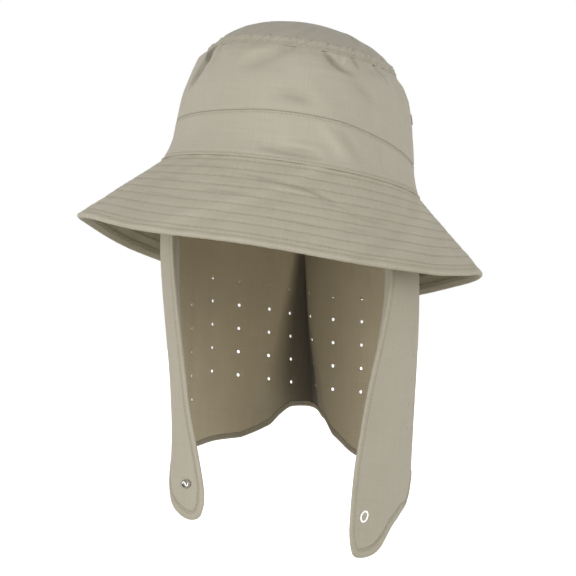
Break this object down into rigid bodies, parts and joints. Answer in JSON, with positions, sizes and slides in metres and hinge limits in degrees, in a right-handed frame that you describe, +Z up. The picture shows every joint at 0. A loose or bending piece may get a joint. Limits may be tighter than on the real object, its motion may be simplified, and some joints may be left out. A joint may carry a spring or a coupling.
{
  "type": "flap sun hat",
  "caption": "Soft bucket hat with a stitched brim and a perforated neck flap that hangs under it and ends in rounded snap tabs at the front.",
  "frame": {"origin": "middle of the head opening, at the seam between the crown and the brim, as mount head_seat", "axes": "+Z is up as the hat is worn, the front of the hat faces -Y and the wearer's left is +X, and the crown and brim lean 7.5 degrees towards +X and 4.5 degrees back, as in the picture"},
  "size_m": [0.269, 0.283, 0.3507],
  "materials": {
    "crown_cloth": "matt plain-woven khaki cotton and nylon cloth",
    "brim_cloth": "matt plain-woven khaki cloth, quilted with rows of stitching",
    "facing_cloth": "matt olive cloth under the brim",
    "flap_cloth": "matt thin khaki cloth, hemmed",
    "snap_metal": "bright nickel plate over brass",
    "eyelet_metal": "dark plated, satin"
  },
  "bodies": {
    "root": {"crown_top": "crown_cloth", "crown_upper_band": "crown_cloth", "crown_lower_band": "crown_cloth", "brim": "brim_cloth", "brim_facing": "facing_cloth", "neck_flap": "flap_cloth", "snap_socket": "snap_metal", "snap_socket_back": "snap_metal", "snap_ring": "snap_metal", "snap_stud": "snap_metal", "vent_eyelet_left": "eyelet_metal", "vent_eyelet_right": "eyelet_metal"}
  },
  "joints": []
}
